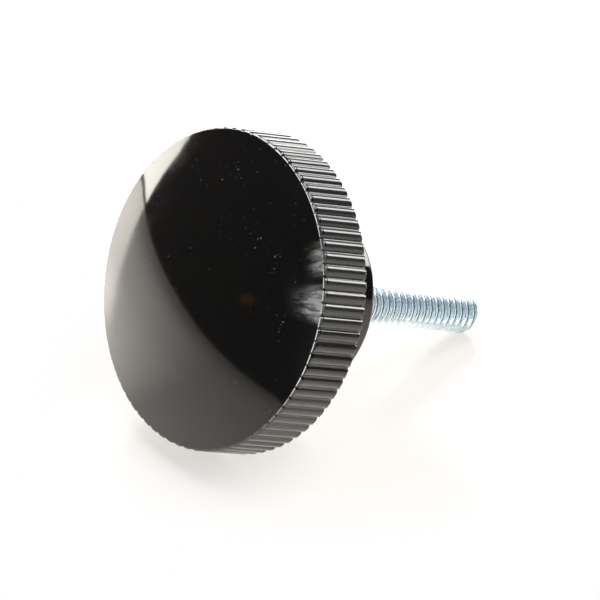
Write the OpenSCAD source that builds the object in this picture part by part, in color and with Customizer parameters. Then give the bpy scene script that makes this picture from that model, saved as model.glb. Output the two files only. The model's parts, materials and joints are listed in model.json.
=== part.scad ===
// Knurled knob with a moulded-in threaded stud.
//
// A low-domed black head with a ribbed rim and a round hub, moulded on to a
// plated steel screw. It is modelled as it lies on a flat surface: on two ribs
// at the back edge of the rim and on the end of the stud, with the stud toward
// +X. The origin is on that surface, under the middle of the outline.
//
// The head and the stud are drawn about their own axis first: z = 0 is the end
// face of the hub, the dome is toward +z and the stud toward -z.

/* [Head] */
// Diameter over the rib tops
head_d = 47.6; // [42:0.1:60]
// Width of the rim, from its back edge to where the rounded front edge begins
rim_w = 7.9; // [5:0.1:14]
// Radius of the rounded edge between the rim and the dome
front_edge_r = 0.6; // [0.5:0.05:0.8]
// Radius of the small rounding on the back edge of the rim
back_edge_r = 0.4; // [0.2:0.05:0.8]
// Spherical radius of the dome
dome_r = 76; // [50:1:110]

/* [Ribs] */
// Number of ribs round the rim
rib_count = 78; // [60:2:84]
// Depth of the grooves between the ribs
groove_h = 0.42; // [0.36:0.02:0.5]
// Radius of the rounded top of each rib
rib_r = 1.05; // [0.98:0.01:1.14]

/* [Hub] */
// Diameter of the hub at its end face
hub_d = 26.2; // [22:0.1:32]
// Height of the hub from the back of the rim to its end face
hub_h = 12.2; // [9:0.1:18]
// Draft angle of the hub side
hub_draft = 1.5; // [0:0.5:4]
// Radius of the rounding on the edge of the end face
hub_edge_r = 0.8; // [0.4:0.1:1.5]
// Radius of the blend between the hub and the back of the rim
hub_root_r = 1.6; // [0.8:0.1:3]

/* [Stud] */
// Outside diameter of the thread (1/4 inch)
stud_d = 6.35; // [6:0.01:8]
// Length of the stud beyond the hub (1 1/4 inch)
stud_len = 31.75; // [16:0.25:50]
// Length of the bevel on the end of the stud
stud_bevel = 0.8; // [0.4:0.05:1.2]
// Diameter of the plain shank inside the hub, that of a rolled thread's blank
shank_d = 5.5; // [4.8:0.05:5.9]
// Length of the plain shank, from the end of the hub to the hexagon head
shank_len = 8.5; // [5:0.1:11]
// Width of the moulded-in hexagon head, across its flats
hex_w = 11.1; // [9:0.1:13]
// Thickness of the moulded-in hexagon head
hex_h = 4; // [3:0.1:5.5]
// Clearance round the stud at the bevelled mouth of its seat in the hub
mouth_gap = 0.35; // [0.2:0.05:0.8]
// Gap left between the steel and the plastic moulded round it
mould_gap = 0; // [0:0.005:0.02]

/* [Hidden] */
$fn = 96;
eps = 0.01;

rim_r = head_d / 2;
groove_r = rim_r - groove_h;
rib_step = 360 / rib_count;
rib_x = rim_r - rib_r;
// The roundings of the rim start this far outside the rib tops
rib_clear = 0.03;
stud_r = stud_d / 2;
shank_r = shank_d / 2;
mouth_r = stud_r + mouth_gap;

// Heights along the axis, from the end face of the hub
rim_back_z = hub_h;
rim_front_z = rim_back_z + rim_w;

// The dome touches the rounded front edge where the line from the centre of
// the dome through the centre of the rounding meets both circles.
edge_x = rim_r + rib_clear - front_edge_r;
back_x = rim_r + rib_clear - back_edge_r;
dome_touch = asin(edge_x / (dome_r - front_edge_r));
dome_centre_z = rim_front_z - (dome_r - front_edge_r) * cos(dome_touch);
dome_touch_x = dome_r * sin(dome_touch);
dome_top_z = dome_centre_z + dome_r;

// End rounding and root blend of the hub, both tangent to its drafted side
hub_r = hub_d / 2;
end_x = (hub_r * cos(hub_draft) + hub_edge_r * (sin(hub_draft) - 1)) / cos(hub_draft);
root_z = rim_back_z - hub_root_r;
root_x = (hub_r * cos(hub_draft) + hub_root_r + root_z * sin(hub_draft)) / cos(hub_draft);
hub_top_r = hub_r + rim_back_z * tan(hub_draft);

// How it lies: on the lowest lines of the two ribs next to the lowest groove,
// where they meet the rounded back edge or just on that edge, and on the end of
// the stud where its bevel begins
rest_r = rib_x * cos(rib_step / 2) + rib_r;
rest_turn = atan2(rib_x * sin(rib_step / 2), rest_r);
rest_slope = acos((rest_r / cos(rest_turn) - back_x) / back_edge_r);
rest_b = rim_back_z + back_edge_r + stud_len - stud_bevel;
line_angle = atan2(rest_r - stud_r, rest_b - back_edge_r * sin(rest_slope));
edge_a = (rim_r + rib_clear) * cos(rest_turn) - back_edge_r - stud_r;
edge_angle = atan2(edge_a, rest_b) + asin(back_edge_r / norm([edge_a, rest_b]));
lie_angle = edge_angle > rest_slope ? edge_angle : line_angle;
lift = stud_r * cos(lie_angle) + (stud_len - stud_bevel) * sin(lie_angle);

// Ends of the outline along X as it lies, to set the origin under its middle
head_reach = lie_angle > dome_touch
    ? rim_front_z * cos(lie_angle) + edge_x * sin(lie_angle) + front_edge_r
    : dome_centre_z * cos(lie_angle) + dome_r;
stud_reach = stud_len * cos(lie_angle) + (stud_r - stud_bevel) * sin(lie_angle);
shift_x = (head_reach - stud_reach) / 2;

// Puts what is drawn about the axis down on the surface
module laid_down() {
    translate([shift_x, 0, lift])
        rotate([0, lie_angle - 90, 0])
            children();
}

// The ribs of one half of the rim, from the groove on the side it lies on
module half_ribs() {
    for (i = [0 : rib_count / 2 - 1])
        rotate(180 + (i + 0.5) * rib_step)
            translate([rib_x, 0])
                circle(r = rib_r, $fn = 36);
}

// Cross-section of the ribbed rim
module rim_section() {
    circle(r = groove_r);
    half_ribs();
    mirror([0, 1, 0])
        half_ribs();
}

// Half outline of the dome and the plain rim, with both edges rounded
module head_profile() {
    intersection() {
        translate([0, dome_centre_z])
            circle(r = dome_r, $fn = 360);
        translate([0, rim_back_z + back_edge_r])
            square([dome_touch_x, dome_top_z - rim_back_z]);
    }
    translate([edge_x, rim_front_z])
        circle(r = front_edge_r);
    translate([0, rim_back_z + back_edge_r])
        square([rim_r + rib_clear, rim_w - back_edge_r]);
    translate([0, rim_back_z])
        square([back_x, rim_w]);
    translate([back_x, rim_back_z + back_edge_r])
        circle(r = back_edge_r, $fn = 32);
}

// Half outline of the hub, drafted, with a rounded end and a blended root
module hub_profile() {
    translate([end_x, hub_edge_r])
        circle(r = hub_edge_r, $fn = 48);
    polygon([
        [0, 0],
        [end_x, 0],
        [end_x, hub_edge_r],
        [end_x + hub_edge_r * cos(hub_draft), hub_edge_r * (1 - sin(hub_draft))],
        [hub_top_r, rim_back_z + eps],
        [0, rim_back_z + eps]
    ]);
    difference() {
        polygon([
            [0, root_z],
            [root_x - hub_root_r * cos(hub_draft), root_z + hub_root_r * sin(hub_draft)],
            [root_x, root_z],
            [root_x, rim_back_z + eps],
            [0, rim_back_z + eps]
        ]);
        translate([root_x, root_z])
            circle(r = hub_root_r);
    }
}

// The end of the screw inside the head: plain shank and hexagon head. The same
// shape, grown by a gap and run out through the hub's end, cuts its seat.
module stud_root(gap = 0, run_out = 0) {
    translate([0, 0, -run_out])
        cylinder(h = shank_len + run_out + eps, r = shank_r + gap);
    translate([0, 0, shank_len - gap])
        cylinder(h = hex_h + 2 * gap, r = (hex_w / 2 + gap) / cos(30), $fn = 6);
}

// Seat of the screw, with a 45 degree bevel round its mouth
module stud_seat() {
    stud_root(mould_gap, stud_bevel);
    translate([0, 0, -eps])
        cylinder(h = mouth_r + eps, r1 = mouth_r + eps, r2 = 0);
}

// Moulded head: dome, ribbed rim and hub in one piece
module knob_head() {
    color([0.07, 0.065, 0.06])
        laid_down()
            difference() {
                union() {
                    intersection() {
                        rotate_extrude($fn = 180)
                            head_profile();
                        translate([0, 0, rim_back_z - groove_h])
                            linear_extrude(height = dome_top_z - rim_back_z + 2 * groove_h)
                                rim_section();
                    }
                    rotate_extrude($fn = 120)
                        hub_profile();
                }
                stud_seat();
            }
}

// Plated steel stud, its thread drawn as a plain cylinder over the crests
module threaded_stud() {
    color([0.78, 0.82, 0.86])
        laid_down() {
            translate([0, 0, stud_bevel - stud_len])
                cylinder(h = stud_len - stud_bevel, r = stud_r);
            translate([0, 0, -stud_len])
                cylinder(h = stud_bevel, r1 = stud_r - stud_bevel, r2 = stud_r);
            stud_root(run_out = eps);
        }
}

knob_head();
threaded_stud();
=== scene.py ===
"""Knurled knob: a glossy black moulded head on a zinc-plated threaded stud.

The head keeps its own solid and gets a moulded-plastic finish. The stud is cut
here with a real thread and stands for the plain one. Everything that is placed
is in metres; distances inside the finishes are in millimetres.
"""
import json
import math

import bpy
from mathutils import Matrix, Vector


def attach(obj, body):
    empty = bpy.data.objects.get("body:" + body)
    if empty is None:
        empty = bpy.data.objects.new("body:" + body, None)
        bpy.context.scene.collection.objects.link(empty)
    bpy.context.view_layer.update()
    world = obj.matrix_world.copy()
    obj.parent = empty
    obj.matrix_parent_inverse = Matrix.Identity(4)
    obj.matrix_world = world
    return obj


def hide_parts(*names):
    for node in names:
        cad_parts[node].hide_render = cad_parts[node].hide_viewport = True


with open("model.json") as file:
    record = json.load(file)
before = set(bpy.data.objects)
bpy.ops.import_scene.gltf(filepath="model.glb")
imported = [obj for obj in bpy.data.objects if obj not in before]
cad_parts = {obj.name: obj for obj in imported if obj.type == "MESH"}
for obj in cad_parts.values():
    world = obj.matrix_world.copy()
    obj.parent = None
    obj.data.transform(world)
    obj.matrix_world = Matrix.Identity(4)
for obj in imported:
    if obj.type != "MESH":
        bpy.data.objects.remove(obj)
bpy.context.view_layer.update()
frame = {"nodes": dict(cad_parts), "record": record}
MM = 0.001
WHITE = (1, 1, 1)
BLACK = (0, 0, 0)


# ------------------------------------------------------------ sizes and places
stud_mount = next(m for m in frame["record"]["mounts"] if m["name"] == "stud")
along = Vector(stud_mount["axis"]).normalized()      # from the hub toward the tip
across = Vector((0, 1, 0))
down = across.cross(along)                           # third axis, right-handed
stud_r = stud_mount["dims"]["r_mm"] * MM
hub_end = Vector(stud_mount["pos_m"]) - along * stud_mount["dims"]["length_mm"] / 2 * MM
RIM_R = 23.8                                         # over the ribs, in mm
RIM_FOOT = -12.6                                     # where the rim's back edge begins to round, in mm


def own_place(x, y, s):
    """A point about the knob's axis: s along the stud from the hub's end face."""
    return hub_end + down * x + across * y + along * s


def toward(azimuth, elevation=0.0):
    """The direction at an azimuth and elevation, by the same rule as the camera's."""
    a, e = math.radians(azimuth), math.radians(elevation)
    return Vector((math.sin(a) * math.cos(e), -math.cos(a) * math.cos(e), math.sin(e)))


foot = own_place(RIM_R * MM, 0, RIM_FOOT * MM)       # the foot of the ribbed rim


# ---------------------------------------------------------------- shader maths
class Wire:
    """A shader value that can be used in sums; each sum adds one Math node."""

    def __init__(self, finish, socket):
        self.finish = finish
        self.socket = socket

    def __add__(self, other):
        return self.finish.maths("ADD", self, other)

    __radd__ = __add__

    def __sub__(self, other):
        return self.finish.maths("SUBTRACT", self, other)

    def __rsub__(self, other):
        return self.finish.maths("SUBTRACT", other, self)

    def __mul__(self, other):
        return self.finish.maths("MULTIPLY", self, other)

    __rmul__ = __mul__

    def __truediv__(self, other):
        return self.finish.maths("DIVIDE", self, other)

    def __pow__(self, other):
        return self.finish.maths("POWER", self, other)

    def above(self, low, high):
        """0 below low, 1 above high and smooth between them."""
        ramp = {"data_type": "FLOAT", "interpolation_type": "SMOOTHSTEP", "clamp": True}
        made = self.finish.node("ShaderNodeMapRange", ramp,
                                {"Value": self, "From Min": low, "From Max": high})
        return made["Result"]


class Outputs:
    """The outputs of a node, by name or number, each as a Wire."""

    def __init__(self, finish, node):
        self.finish = finish
        self.node = node

    def __getitem__(self, name):
        return Wire(self.finish, self.node.outputs[name])


class Finish:
    """A procedural material, put together node by node."""

    def __init__(self, name):
        self.material = bpy.data.materials.new(name)
        self.material.use_nodes = True
        self.tree = self.material.node_tree
        self.tree.nodes.clear()

    def node(self, kind, settings=None, sockets=None):
        """Adds one node: its settings first, then a value or a link for each socket."""
        made = self.tree.nodes.new(kind)
        for name, value in (settings or {}).items():
            setattr(made, name, value)
        for name, value in (sockets or {}).items():
            if isinstance(value, Wire):
                self.tree.links.new(value.socket, made.inputs[name])
            else:
                made.inputs[name].default_value = value
        return Outputs(self, made)

    def maths(self, operation, *values):
        return self.node("ShaderNodeMath", {"operation": operation}, dict(enumerate(values)))["Value"]

    def vector(self, operation, first, sockets=None):
        made = self.node("ShaderNodeVectorMath", {"operation": operation}, {0: first, **(sockets or {})})
        return made["Value" if operation in ("DOT_PRODUCT", "LENGTH") else "Vector"]

    def dot(self, where, direction):
        return self.vector("DOT_PRODUCT", where, {1: tuple(direction)})

    def point(self, x, y, z):
        return self.node("ShaderNodeCombineXYZ", None, {"X": x, "Y": y, "Z": z})["Vector"]

    def place(self):
        """Where a point is, in millimetres, in the object's own frame."""
        made = self.node("ShaderNodeTexCoord")["Object"]
        return self.vector("SCALE", made, {"Scale": 1 / MM})

    def about_axis(self, where):
        """Millimetres along the knob's axis from the hub's end, and down and across from it."""
        from_end = self.vector("SUBTRACT", where, {1: tuple(hub_end / MM)})
        return [self.dot(from_end, axis) for axis in (along, down, across)]

    def noise(self, where, size, detail=2.0, rough=0.5):
        """Soft random patches about `size` mm across, from 0 to 1."""
        made = self.node("ShaderNodeTexNoise", {"noise_dimensions": "3D"},
                         {"Vector": where, "Scale": 1 / size, "Detail": detail, "Roughness": rough})
        return made["Fac"]

    def blend(self, factor, first, second):
        """Goes from the first colour to the second; a colour is three numbers or a Wire."""
        first, second = (c if isinstance(c, Wire) else (*c, 1) for c in (first, second))
        made = self.node("ShaderNodeMix", {"data_type": "RGBA", "clamp_factor": True},
                         {0: factor, 6: first, 7: second})
        return made[2]

    def glow(self, colour, strength):
        """A surface that only shines; the strength is always a plain number."""
        colour = colour if isinstance(colour, Wire) else (*colour, 1)
        return self.node("ShaderNodeEmission", None, {"Color": colour, "Strength": strength})["Emission"]

    def surface(self, shader):
        self.node("ShaderNodeOutputMaterial", None, {"Surface": shader})
        return self.material


# ---------------------------------------------------------------------- thread
PITCH = 1.27 * MM              # twenty turns to the inch
STUD_LENGTH = 31.75 * MM
TIP_BEVEL = 0.8 * MM
THREAD_DEPTH = 0.74 * MM
CREST, ROOT = 0.13, 0.80       # where the flank begins and ends, on the way from crest to root
SOFT = 0.10                    # rounding at both ends of the flank
STEPS_ROUND = 96
STEPS_PER_PITCH = 22
SHANK_R = 2.75 * MM
SHANK_LENGTH = 8.5 * MM
HEX_ACROSS = 11.1 * MM
HEX_HEIGHT = 4.0 * MM
RUN_OUT = 1.0 * MM             # over which the thread fades into the shank


def thread_depth(turn):
    """How deep the groove is, from 0 at the crest to 1 at the root, at a part of a turn."""
    from_crest = abs((turn + 0.5) % 1 - 0.5) * 2
    slope = min(max((from_crest - CREST) / (ROOT - CREST), 0.0), 1.0)
    if slope < SOFT:
        return slope * slope / (2 * SOFT) / (1 - SOFT)
    if slope > 1 - SOFT:
        return 1 - (1 - slope) ** 2 / (2 * SOFT) / (1 - SOFT)
    return (slope - SOFT / 2) / (1 - SOFT)


def thread_radius(s, angle):
    """Radius of the stud at a distance from the hub and an angle round it."""
    radius = stud_r - THREAD_DEPTH * thread_depth(s / PITCH - angle / math.tau)
    fade = min(max((RUN_OUT - s) / RUN_OUT, 0.0), 1.0)
    radius += (SHANK_R - radius) * fade * fade * (3 - 2 * fade)
    bevel = stud_r - TIP_BEVEL + (STUD_LENGTH - s)
    return min(radius, bevel)


def shank_radius(angle):
    return SHANK_R


def hexagon_radius(angle):
    side = math.pi / 3
    return HEX_ACROSS / 2 / math.cos((angle + side / 2) % side - side / 2)


def make_stud():
    """The screw: threaded length, plain shank and hexagon head in one closed mesh."""
    points, faces = [], []

    def ring(s, radius_at):
        first = len(points)
        for i in range(STEPS_ROUND):
            a = 2 * math.pi * i / STEPS_ROUND
            r = radius_at(a)
            points.append(own_place(r * math.cos(a), r * math.sin(a), s))
        return first

    def join(one, two):
        for i in range(STEPS_ROUND):
            j = (i + 1) % STEPS_ROUND
            faces.append((one + i, one + j, two + j, two + i))

    rows = [(-SHANK_LENGTH - HEX_HEIGHT, hexagon_radius), (-SHANK_LENGTH, hexagon_radius),
            (-SHANK_LENGTH, shank_radius), (0.0, shank_radius)]
    count = round(STUD_LENGTH / PITCH * STEPS_PER_PITCH)
    for i in range(1, count + 1):
        s = STUD_LENGTH * i / count
        rows.append((s, lambda a, s=s: thread_radius(s, a)))
    rings = [ring(s, radius_at) for s, radius_at in rows]
    for one, two in zip(rings, rings[1:]):
        join(one, two)
    faces.append(tuple(reversed(range(rings[0], rings[0] + STEPS_ROUND))))
    faces.append(tuple(range(rings[-1], rings[-1] + STEPS_ROUND)))
    mesh = bpy.data.meshes.new("zinc_stud")
    mesh.from_pydata([p[:] for p in points], [], faces)
    mesh.update()
    for face in mesh.polygons:
        face.use_smooth = len(face.vertices) == 4          # all but the two ends
    stud = bpy.data.objects.new("zinc_stud", mesh)
    bpy.context.scene.collection.objects.link(stud)
    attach(stud, "root")
    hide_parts("threaded_stud")
    return stud


# -------------------------------------------------------------- black moulding
RIBS = 78
RIB_PITCH = math.tau * RIM_R / RIBS
# where the finish of the ribs sets in, away from the axis and along it, and where it ends
RIBS_OUT, RIBS_FROM, RIBS_TO = (22.6, 23.3), (-20.2, -19.9), (-12.5, -12.3)
GROOVE_HALF, FILLET = 0.10, 0.15               # half the flat of a groove, and the fillet beside it
FLOOR_SLOPE, FLANK_SLOPE = 0.306, 1.35         # how far the fillet leans where the two meet
FILLET_POWER = 2.5                             # how fast its side flattens out into the rib
WAVE_HEIGHT = 0.002                            # of the faint waviness in the gloss
# where specks of dust lie thicker on the dome: place from the axis, and size
SPECK_SPOTS = [(-11.1, -6.2, 3.5), (-10.4, -13.1, 3.0), (-2.6, -17.7, 3.0), (-17.9, 2.5, 2.5)]
SPECK_EXTRA = 0.09
DUST_LEVEL = (0.77, 0.80)                      # only the very tops of the noise are specks
# where the dome's edge is lighter and duller: angle round the axis, inner radius and half width
EDGE_PATCHES = [(-126.5, 20.0, 8.0), (-110.0, 17.0, 8.5)]
PATCH_ENDS = (-20.25, -20.15)                   # the patches go no further over the edge than this
PLAIN_BLACK, RIB_GREY, DUST_GREY = (0.006, 0.0055, 0.005), (0.055, 0.053, 0.050), (0.22, 0.205, 0.19)
GLOSS = 0.06


def black_moulding():
    """Glossy black thermoset: faint waviness and dust, dull in the ribs, and lighter and duller in two
    patches at one edge.
    """
    f = Finish("black_moulding")
    where = f.place()
    s, x, y = f.about_axis(where)
    radius = (x * x + y * y) ** 0.5
    haze = f.noise(where, size=9.0, detail=3.0).above(0.52, 0.75)
    wave = f.noise(where, size=2.2, detail=1.0)
    grain = f.noise(where, size=0.22)

    def near(spot_x, spot_y, size):
        return 1.0 - f.vector("LENGTH", f.point(x - spot_x, y - spot_y, 0.0)).above(0.0, size)

    thicker = sum(near(*spot) for spot in SPECK_SPOTS)
    dust = (f.noise(where, size=0.32, detail=1.0) + thicker * SPECK_EXTRA).above(*DUST_LEVEL)

    # the rounded bottom of each groove, by the distance round the rim from its middle
    ribs = radius.above(*RIBS_OUT) * s.above(*RIBS_FROM) * (1 - s.above(*RIBS_TO))
    turn = f.maths("ARCTAN2", y, x) * (RIBS / math.tau)
    off = f.maths("ABSOLUTE", f.maths("FRACT", turn + 0.5) - 0.5) * RIB_PITCH
    floor = f.maths("MINIMUM", off, GROOVE_HALF)
    flank = f.maths("MINIMUM", off, GROOVE_HALF + FILLET) - floor
    left = 1.0 - flank * (1 / FILLET)
    fillet = floor * floor * (FLOOR_SLOPE / 2 / GROOVE_HALF)
    fillet = fillet + left ** FILLET_POWER * (FLANK_SLOPE * FILLET / FILLET_POWER)
    # fine lines that run with the axis, in the haze on the ribs
    lines = f.noise(f.point(x, y, s * 0.06), size=0.16)

    # streaks that run out from the middle of the dome, in the lighter patches at its edge
    streaks = f.noise(f.point(x / radius, y / radius, radius * 0.01), size=0.03, detail=3.0, rough=0.6)

    def patch(angle, inner, half_width):
        a = math.radians(angle)
        ahead = (x * math.cos(a) + y * math.sin(a)) / radius
        reach = (radius - inner) * (1 / (RIM_R - inner))
        return ahead.above(math.cos(math.radians(half_width)), 1.0) * reach.above(0.0, 1.0)

    # lighter, duller patches at the dome's edge, with the streaks in them
    pale_patches = sum(patch(*edge) for edge in EDGE_PATCHES)
    pale_patches = pale_patches * (0.3 + 0.7 * streaks.above(0.3, 0.7)) * (0.5 + grain) * (1 - s.above(*PATCH_ENDS))

    plain = f.blend(ribs * (0.4 + 0.9 * lines), PLAIN_BLACK, RIB_GREY)
    bump = f.node("ShaderNodeBump", None,
                  {"Strength": 1.0, "Distance": 1.0 * MM, "Height": fillet * ribs + wave * WAVE_HEIGHT})
    shader = f.node("ShaderNodeBsdfPrincipled", None, {
        "Base Color": f.blend(dust * 0.4 + pale_patches * 0.45, plain, DUST_GREY),
        "Roughness": GLOSS + haze * 0.05 + dust * 0.4 + pale_patches * 0.38 + ribs * 0.04,
        "IOR": 1.6, "Normal": bump["Normal"]})
    return f.surface(shader["BSDF"])


# ----------------------------------------------------------------- bright zinc
ROOT_TO_CREST = (2.49, 2.72)                   # radii between which the painted shade in the roots gives way to the zinc's own colour
# the roots' near-black colour is painted shade; the crests' colour is the zinc's own
ROOT_PAINTED_SHADE, ZINC_CREST = (0.03, 0.035, 0.04), (0.78, 0.90, 0.96)


def bright_zinc():
    """Bright zinc plate: a slight blue cast, with painted shade down in the thread's roots."""
    f = Finish("bright_zinc")
    where = f.place()
    _, x, y = f.about_axis(where)
    crest = ((x * x + y * y) ** 0.5).above(*ROOT_TO_CREST)
    mottle = f.noise(where, size=0.6, detail=3.0)
    bump = f.node("ShaderNodeBump", None, {"Strength": 0.10, "Distance": 0.05 * MM, "Height": mottle})
    # the base colour goes from painted shade in the roots to the zinc's colour on the crests
    shader = f.node("ShaderNodeBsdfPrincipled", None, {
        "Base Color": f.blend(crest, ROOT_PAINTED_SHADE, ZINC_CREST), "Metallic": 0.76,
        "Roughness": 0.13 + mottle * 0.24, "Normal": bump["Normal"]})
    return f.surface(shader["BSDF"])


# ----------------------------------------------------------------------- table
TABLE_PAINT, TABLE_GLOSS = (0.85, 0.80, 0.745), 0.22
TABLE_WHITE = 0.66             # how much of the table is plain white to the camera
WARM_SHADE_TINT, WARM_SHADE_ENDS = (0.995, 0.96, 0.92), (20.0, 44.0)    # painted warm shade: the white close to the knob is tinted warm
MIRRORED_TINT = (1, 0.94, 0.88)
TABLE_GLOW = 4.5               # the brightest that the table is in the knob's reflections
TABLE_DIM, DIM_FROM_TO = 0.12, (60.0, 480.0)   # how far that fades, and over which distances
CLOSE_ENDS = (40.0, 130.0)     # the glow behind the knob is only this near to it
SHEEN_LEVEL = 3.2
SHADOW_ENDS = (4.0, 24.0)      # distance from the foot over which the shadow turns white
STUD_SHADE, STUD_FROM_TO = 0.75, (-2.0, 14.0)  # how much of it stays on the stud's side, and where
FAR_WHITE = (110.0, 300.0)     # distances over which the last of the shading goes


def white_table():
    """Satin white table: it keeps a soft shadow and goes plain white further out.

    In reflections it also glows, in a pattern round the knob.
    """
    f = Finish("white_table")
    where = f.place()
    away = f.vector("LENGTH", where)
    flat = f.vector("NORMALIZE", where)

    def lobe(azimuth, low, high):
        """1 toward an azimuth, and 0 well away from it."""
        return f.dot(flat, toward(azimuth)).above(low, high)

    seen = f.node("ShaderNodeLightPath")
    mirrored = seen["Is Glossy Ray"] + seen["Is Transmission Ray"]
    lit = f.node("ShaderNodeBsdfPrincipled", None, {
        "Base Color": (*TABLE_PAINT, 1), "Roughness": TABLE_GLOSS, "IOR": 1.45})
    front_right, left = lobe(45.0, 0.3, 0.9), lobe(-100.0, 0.75, 0.95)
    back_left, behind = lobe(-145.0, 0.85, 0.97), lobe(-165.0, 0.92, 0.99)
    back_right = lobe(138.0, 0.90, 1.0)
    fading = 1.0 - (1.0 - TABLE_DIM) * away.above(*DIM_FROM_TO)
    level = fading * (1.0 - 0.7 * front_right - 0.65 * left + 0.45 * back_left)
    level = level + (1.0 - away.above(*CLOSE_ENDS)) * (0.4 * back_left + 2.5 * behind)
    level = level + back_right * SHEEN_LEVEL
    glowing = f.glow(f.blend(mirrored * level * (1 / TABLE_GLOW), BLACK, MIRRORED_TINT), TABLE_GLOW)
    near = f.node("ShaderNodeAddShader", None, {0: lit["BSDF"], 1: glowing})

    from_foot = f.vector("LENGTH", f.vector("SUBTRACT", where, {1: tuple(foot / MM)}))
    under_stud = f.dot(where, (1, 0, 0)).above(*STUD_FROM_TO)
    plain = from_foot.above(*SHADOW_ENDS) * (1.0 - STUD_SHADE * under_stud)
    plain = f.maths("MAXIMUM", plain, away.above(*FAR_WHITE))
    factor = seen["Is Camera Ray"] * (TABLE_WHITE + (1 - TABLE_WHITE) * plain)
    # painted warm shade: the white is tinted warm close to the knob and plain further out
    white = f.glow(f.blend(away.above(*WARM_SHADE_ENDS), WARM_SHADE_TINT, WHITE), 1.0)
    shader = f.node("ShaderNodeMixShader", None, {0: factor, 1: near["Shader"], 2: white})
    return f.surface(shader["Shader"])


def plain_glow(name, colour, strength):
    """A card that shines evenly."""
    f = Finish(name)
    return f.surface(f.glow(colour, strength))


def wall_glow(name, azimuth, elevation, level, spread=0.86):
    """A card that is brightest toward one direction and fades to black round it."""
    f = Finish(name)
    where = f.vector("NORMALIZE", f.place())
    near = f.dot(where, toward(azimuth, elevation)).above(spread, 0.995)
    return f.surface(f.glow(f.blend(near, BLACK, WHITE), level))


# ---------------------------------------------------------------- camera, room
TABLE_HALF = 560 * MM
ROOM_R, ROOM_LEVEL = 2000 * MM, 0.05
ROOM_STEPS, ROOM_ROWS = 48, 24
WALL_R = 1150 * MM             # how far off the cards stand
CARD_STEPS = 24                # corners along a curved edge
SIDE_LEVEL = 3.0
WINDOW_LEVEL = 9.0
EDGE_LEVEL = 14.0              # for the pale line along the dome's edge
EDGE_CARDS = [("left_window", (-96, -70), (-10, 36)), ("left_high", (-160, -96), (37, 60)),
              ("back_high", (-188, -162), (22, 60))]
SKY_TINT = (0.84, 0.94, 1.0)
FRONT_R, FRONT_LEVEL = 700 * MM, 1.15
UPPER_X, UPPER_Y, UPPER_Z = (-450 * MM, 600 * MM), (-500 * MM, -160 * MM), 1100 * MM
WARM_AT, WARM_LONG, WARM_SHORT = (-117.0, 11.6), (1.9, 1.3), (0.6, -0.7)
WARM_TINT, WARM_LEVEL = (1.0, 0.36, 0.2), 0.32
BACK_TINT, BACK_LEVEL = (1.0, 0.96, 0.87), 9.0
OVERHEAD_AT, OVERHEAD_SIZE = Vector((0.03, 0.10, 0.78)), (0.44, 0.44)
OVERHEAD_TINT, OVERHEAD_LEVEL = (0.97, 0.985, 1.0), 8.0
STRIP_AT, STRIP_SIZE, STRIP_LEVEL = toward(152, 33), (0.70, 0.26), 9.0

CAMERA_AZ, CAMERA_EL = -36.872, 32.818
CAMERA_AT = Vector((-614.38, -814.97, 673.81)) * MM
CAMERA_LENS = 493.4


def sheet(name, points, faces, material, camera=False):
    """A piece of the room, which the camera sees only if it is told to."""
    mesh = bpy.data.meshes.new(name)
    mesh.from_pydata([tuple(p) for p in points], [], faces)
    mesh.materials.append(material)
    made = bpy.data.objects.new(name, mesh)
    bpy.context.scene.collection.objects.link(made)
    made.visible_camera = camera
    return made


def level_sheet(name, xs, ys, z, material, camera=False):
    """A level rectangle."""
    points = [(xs[0], ys[0], z), (xs[1], ys[0], z), (xs[1], ys[1], z), (xs[0], ys[1], z)]
    return sheet(name, points, [(0, 1, 2, 3)], material, camera)


def curved_card(name, radius, azimuths, elevations, material):
    """An upright curved card round the knob, between two azimuths and two elevations."""
    points, faces = [], []
    for i in range(CARD_STEPS + 1):
        part = i / CARD_STEPS
        flat = toward(azimuths[0] + (azimuths[1] - azimuths[0]) * part) * radius
        for e in elevations:
            points.append(flat + Vector((0, 0, radius * math.tan(math.radians(e)))))
        if i:
            faces.append((2 * i - 2, 2 * i - 1, 2 * i + 1, 2 * i))
    return sheet(name, points, faces, material)


def oval_card(name, radius, centre, long_axis, short_axis, material):
    """A small oval card; its centre and half axes are in degrees of azimuth and elevation."""
    points = []
    for i in range(CARD_STEPS):
        a = math.tau * i / CARD_STEPS
        azimuth, elevation = (centre[k] + long_axis[k] * math.cos(a) + short_axis[k] * math.sin(a)
                              for k in range(2))
        points.append(toward(azimuth, elevation) * radius)
    return sheet(name, points, [tuple(range(CARD_STEPS))], material)


def dark_room():
    """A dim sphere round everything, which only reflections and soft light meet."""
    points, faces = [], []
    for j in range(ROOM_ROWS + 1):
        for i in range(ROOM_STEPS):
            points.append(toward(360 * i / ROOM_STEPS, 180 * j / ROOM_ROWS - 90) * ROOM_R)
    for j in range(ROOM_ROWS):
        one, two = j * ROOM_STEPS, (j + 1) * ROOM_STEPS
        for i in range(ROOM_STEPS):
            k = (i + 1) % ROOM_STEPS
            faces.append((one + i, one + k, two + k, two + i))
    return sheet("dark_room", points, faces, plain_glow("dark_wall", WHITE, ROOM_LEVEL))


def set_camera():
    data = bpy.data.cameras.new("camera")
    camera = bpy.data.objects.new("camera", data)
    bpy.context.scene.collection.objects.link(camera)
    camera.location = CAMERA_AT
    camera.rotation_mode = "QUATERNION"
    camera.rotation_quaternion = (-toward(CAMERA_AZ, CAMERA_EL)).to_track_quat("-Z", "Y")
    data.sensor_width = 36
    data.lens = CAMERA_LENS
    data.clip_start, data.clip_end = 0.05, 10
    bpy.context.scene.camera = camera


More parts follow.
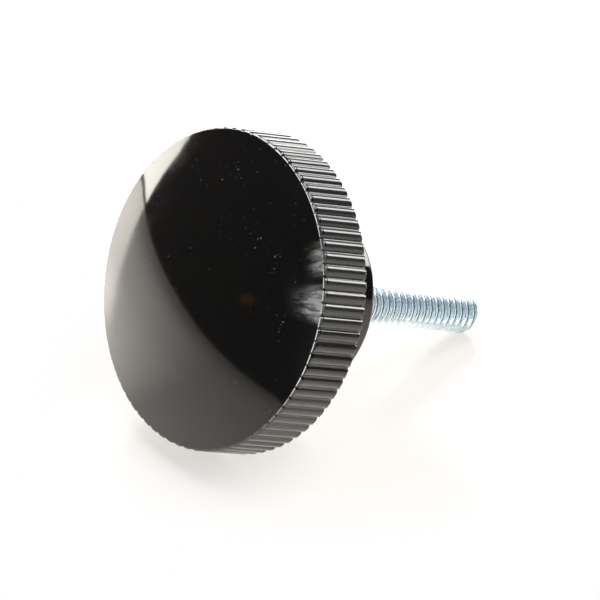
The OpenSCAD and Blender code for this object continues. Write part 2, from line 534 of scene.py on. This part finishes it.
def lamp(name, at, size, level, colour=WHITE):
    """A rectangular lamp aimed at the knob, whose face shines at that level (1 is white)."""
    data = bpy.data.lights.new(name, "AREA")
    data.shape = "RECTANGLE"
    data.size, data.size_y = size
    data.energy = level * math.pi * size[0] * size[1]
    data.color = colour
    made = bpy.data.objects.new(name, data)
    bpy.context.scene.collection.objects.link(made)
    made.location = at
    made.rotation_mode = "QUATERNION"
    made.rotation_quaternion = (-Vector(at)).to_track_quat("-Z", "Y")
    made.visible_camera = False
    return made


def set_room():
    """The table, a dim room with pale cards that the knob reflects, and two lamps."""
    table = (-TABLE_HALF, TABLE_HALF)
    level_sheet("table", table, table, 0, white_table(), camera=True)
    dark_room()
    world = bpy.data.worlds.new("white_beyond")
    bpy.context.scene.world = world
    world.use_nodes = True
    world.node_tree.nodes["Background"].inputs["Color"].default_value = (*WHITE, 1)
    world.node_tree.nodes["Background"].inputs["Strength"].default_value = 1.0

    curved_card("side_wall", WALL_R, azimuths=(122, 152), elevations=(-4, 17),
                material=wall_glow("side_glow", 138.0, 0.0, SIDE_LEVEL))
    curved_card("window", WALL_R, azimuths=(77, 118), elevations=(11, 27),
                material=wall_glow("window_glow", 87.0, 20.0, WINDOW_LEVEL, spread=0.945))
    only_mirrored = [curved_card(name, WALL_R, azimuths, elevations,
                                 plain_glow(name + "_glow", WHITE, EDGE_LEVEL))
                     for name, azimuths, elevations in EDGE_CARDS]
    only_mirrored.append(curved_card("front_card", FRONT_R, azimuths=(-50, 35), elevations=(5, 68),
                                     material=plain_glow("front_glow", SKY_TINT, FRONT_LEVEL)))
    only_mirrored.append(level_sheet("upper_card", UPPER_X, UPPER_Y, UPPER_Z,
                                     plain_glow("upper_glow", SKY_TINT, FRONT_LEVEL)))
    for card in only_mirrored:
        card.visible_diffuse = False
    oval_card("warm_spot", WALL_R, WARM_AT, WARM_LONG, WARM_SHORT,
              plain_glow("warm_spot_glow", WARM_TINT, WARM_LEVEL))
    curved_card("back_wall", WALL_R, azimuths=(152, 202.5), elevations=(-0.7, 22),
                material=plain_glow("back_glow", BACK_TINT, BACK_LEVEL))
    lamp("overhead_box", OVERHEAD_AT, OVERHEAD_SIZE, OVERHEAD_LEVEL, OVERHEAD_TINT)
    lamp("back_strip", STRIP_AT, STRIP_SIZE, STRIP_LEVEL)


# ---------------------------------------------------------------- put together
head = frame["nodes"]["knob_head"]
head.data.materials.clear()
head.data.materials.append(black_moulding())
stud = make_stud()
stud.data.materials.append(bright_zinc())
set_camera()
set_room()
bpy.context.scene.view_settings.view_transform = "Standard"
